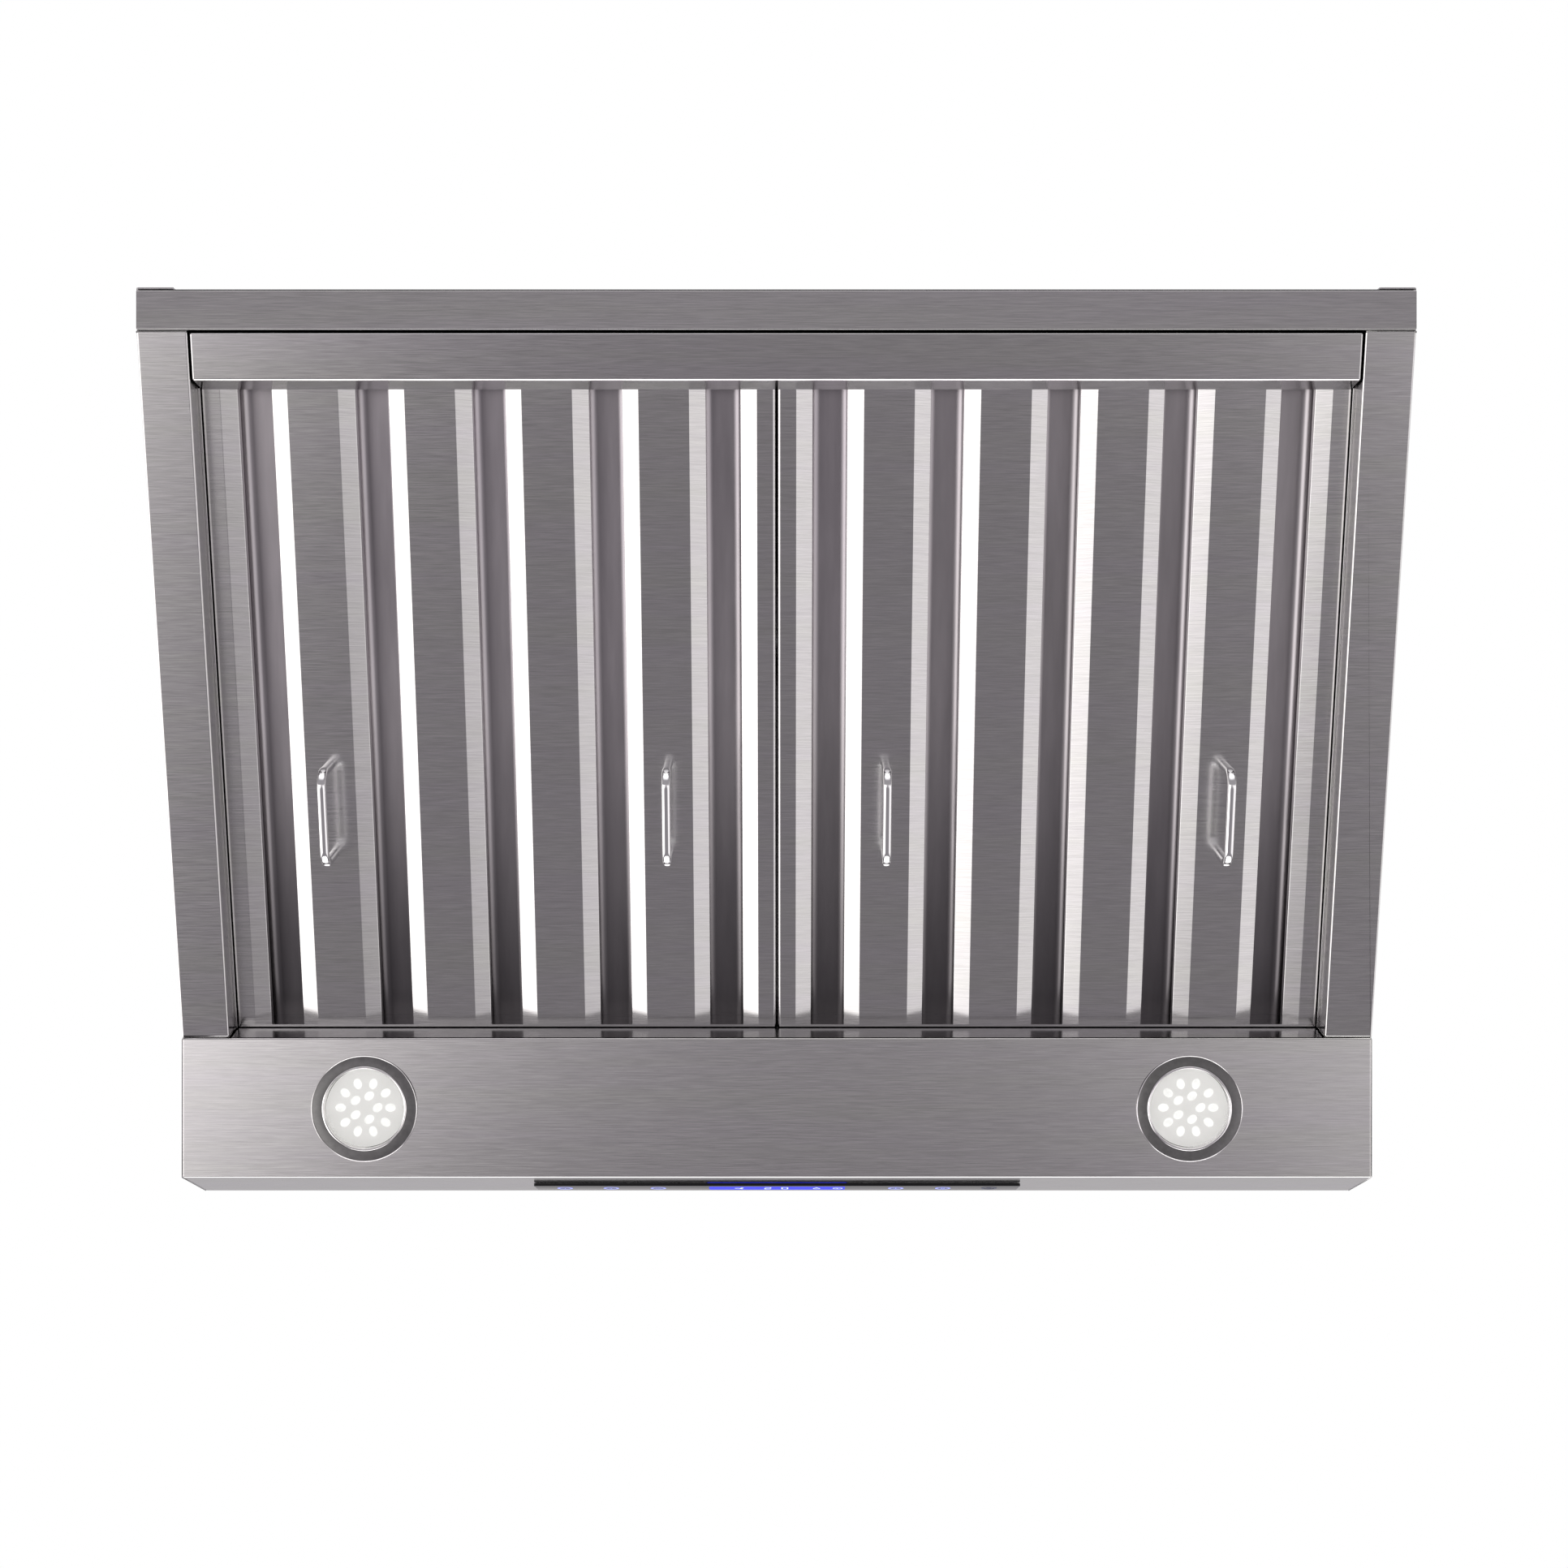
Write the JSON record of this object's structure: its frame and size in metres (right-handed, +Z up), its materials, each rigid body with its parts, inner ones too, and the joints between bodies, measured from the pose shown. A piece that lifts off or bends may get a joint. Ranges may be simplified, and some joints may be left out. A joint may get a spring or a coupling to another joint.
{
  "type": "under cabinet range hood",
  "caption": "Wedge-shaped stainless hood that hangs under a cabinet, with swing-down baffle filters, lamps, a touch strip and a round top duct.",
  "frame": {"origin": "middle of the top panel, on its upper face, which lies against the cabinet", "axes": "+Z up, +Y to the wall, -Y to the front, +X to the right of someone facing the hood"},
  "size_m": [0.756, 0.562, 0.27],
  "materials": {
    "brushed_steel": "brushed crosswise, satin",
    "baffle_steel": "brushed crosswise, satin",
    "chrome_wire": "polished",
    "galvanised": "zinc coated sheet, dull",
    "black_glass": "polished black glass, opaque",
    "display": "lit blue panel",
    "circuit_board": "solder mask",
    "black_plastic": "moulded, fine texture",
    "lamp_ring": "dark satin",
    "lamp_lens": "frosted",
    "motor_paint": "semi-gloss",
    "wheel_coating": "satin",
    "shaft_steel": "ground",
    "capacitor_case": "moulded"
  },
  "bodies": {
    "hood": {"back_panel": "galvanised", "blower_motor": "motor_paint", "cable_bushing": "black_plastic", "control_board": "circuit_board", "control_glass": "black_glass", "control_housing": "black_plastic", "display_module": "display", "duct_collar": "galvanised", "front_panel": "brushed_steel", "front_partition": "galvanised", "junction_box": "galvanised", "junction_box_cover": "galvanised", "left_blower_scroll": "galvanised", "left_filter_catch": "black_plastic", "left_lamp_bezel": "lamp_ring", "left_lamp_housing": "black_plastic", "left_lamp_lens": "lamp_lens", "left_side_panel": "brushed_steel", "motor_bracket": "galvanised", "outlet_plenum": "galvanised", "rear_bar": "brushed_steel", "right_blower_scroll": "galvanised", "right_filter_catch": "black_plastic", "right_lamp_bezel": "lamp_ring", "right_lamp_housing": "black_plastic", "right_lamp_lens": "lamp_lens", "right_side_panel": "brushed_steel", "run_capacitor": "capacitor_case", "top_panel": "brushed_steel"},
    "left_filter": {"left_filter_frame": "baffle_steel", "left_handle_1": "chrome_wire", "left_handle_2": "chrome_wire", "left_inner_baffle_1": "baffle_steel", "left_inner_baffle_2": "baffle_steel", "left_inner_baffle_3": "baffle_steel", "left_inner_baffle_4": "baffle_steel", "left_inner_baffle_5": "baffle_steel", "left_outer_baffle_1": "baffle_steel", "left_outer_baffle_2": "baffle_steel", "left_outer_baffle_3": "baffle_steel", "left_outer_baffle_4": "baffle_steel"},
    "right_filter": {"right_filter_frame": "baffle_steel", "right_handle_1": "chrome_wire", "right_handle_2": "chrome_wire", "right_inner_baffle_1": "baffle_steel", "right_inner_baffle_2": "baffle_steel", "right_inner_baffle_3": "baffle_steel", "right_inner_baffle_4": "baffle_steel", "right_inner_baffle_5": "baffle_steel", "right_outer_baffle_1": "baffle_steel", "right_outer_baffle_2": "baffle_steel", "right_outer_baffle_3": "baffle_steel", "right_outer_baffle_4": "baffle_steel"},
    "grease_tray": {"grease_tray": "brushed_steel"},
    "blower_rotor": {"fan_shaft": "shaft_steel", "left_fan_wheel": "wheel_coating", "right_fan_wheel": "wheel_coating"},
    "front_flap": {"front_damper_flap": "galvanised"},
    "rear_flap": {"rear_damper_flap": "galvanised"}
  },
  "joints": [
    {"name": "left_filter_swing", "type": "hinge", "parent": "hood", "child": "left_filter", "pos_m": [-0.1741, 0.22534, -0.19758], "axis": [1, 0, 0], "range_deg": [0, 60]},
    {"name": "right_filter_swing", "type": "hinge", "parent": "hood", "child": "right_filter", "pos_m": [0.1741, 0.22534, -0.19758], "axis": [1, 0, 0], "range_deg": [0, 60]},
    {"name": "grease_tray_release", "type": "slide", "parent": "hood", "child": "grease_tray", "axis": [0, -0.2224, -0.9749], "range_m": [0, 0.06]},
    {"name": "blower_spin", "type": "hinge", "parent": "hood", "child": "blower_rotor", "pos_m": [0, 0.104, -0.08], "axis": [1, 0, 0], "continuous": true},
    {"name": "front_flap_swing", "type": "hinge", "parent": "hood", "child": "front_flap", "pos_m": [0, 0.141, 0.022], "axis": [-1, 0, 0], "range_deg": [0, 75]},
    {"name": "rear_flap_swing", "type": "hinge", "parent": "hood", "child": "rear_flap", "pos_m": [0, 0.141, 0.022], "axis": [1, 0, 0], "range_deg": [0, 75]}
  ]
}
